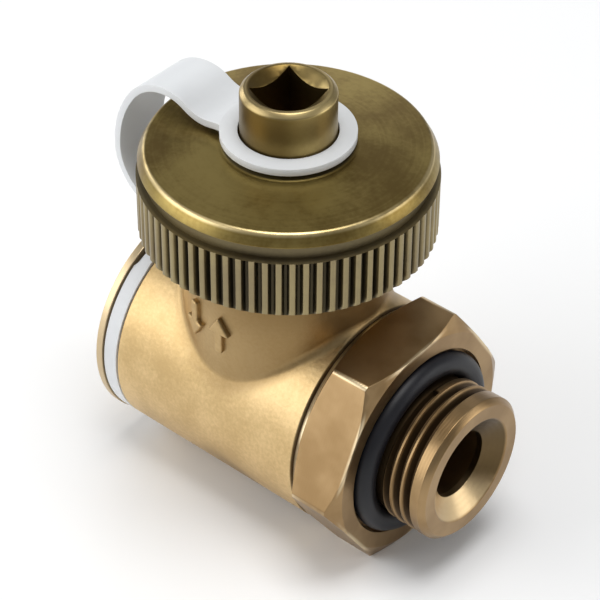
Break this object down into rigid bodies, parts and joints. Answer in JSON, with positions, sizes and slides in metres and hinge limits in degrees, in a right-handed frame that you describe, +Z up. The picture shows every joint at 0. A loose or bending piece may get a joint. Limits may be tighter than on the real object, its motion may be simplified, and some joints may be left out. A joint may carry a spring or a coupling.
{
  "type": "fill and drain valve",
  "caption": "Brass fill and drain valve with a hexagon and threaded inlet, and a hose outlet under a knurled key cap on a plastic strap.",
  "frame": {"origin": "middle of the hexagon's front face, on the inlet axis", "axes": "+X out of the inlet spigot, +Z up the outlet and the cap"},
  "size_m": [0.0467, 0.0316, 0.0502],
  "materials": {
    "cast_brass": "blasted cast brass",
    "turned_brass": "machined brass",
    "cap_brass": "dark knurled brass",
    "chromed_ball": "polished",
    "black_rubber": "smooth",
    "white_ptfe": "matte",
    "strap_plastic": "translucent white",
    "steel_pin": "ground"
  },
  "bodies": {
    "valve": {"valve_body": "cast_brass", "inlet_connector": "turned_brass", "end_bonnet": "turned_brass", "seat_carrier": "turned_brass", "inlet_o_ring": "black_rubber", "connector_o_ring": "black_rubber", "bonnet_o_ring": "black_rubber", "carrier_o_ring": "black_rubber", "outlet_seat": "white_ptfe", "support_seat": "white_ptfe", "stem_thrust_washer": "white_ptfe", "stop_pin": "steel_pin"},
    "stem": {"stem": "turned_brass", "ball": "chromed_ball", "stem_o_ring_inner": "black_rubber", "stem_o_ring_outer": "black_rubber"},
    "strap": {"strap": "strap_plastic"},
    "cap": {"cap": "cap_brass", "cap_gasket": "black_rubber"}
  },
  "joints": [
    {"name": "stem_turn", "type": "hinge", "parent": "valve", "child": "stem", "pos_m": [-0.03, 0, 0], "axis": [1, 0, 0], "range_deg": [0, 90]},
    {"name": "cap_lift", "type": "slide", "parent": "valve", "child": "strap", "axis": [0, 0, 1], "range_m": [0, 0.00635], "deforming": ["strap"]},
    {"name": "cap_turn", "type": "hinge", "parent": "strap", "child": "cap", "pos_m": [-0.01857, 0, 0.028], "axis": [0, 0, 1], "range_deg": [0, 1260]}
  ],
  "couplings": [
    {"joint": "cap_lift", "follows": "cap_turn", "m_per_rad": 0.00028871}
  ]
}
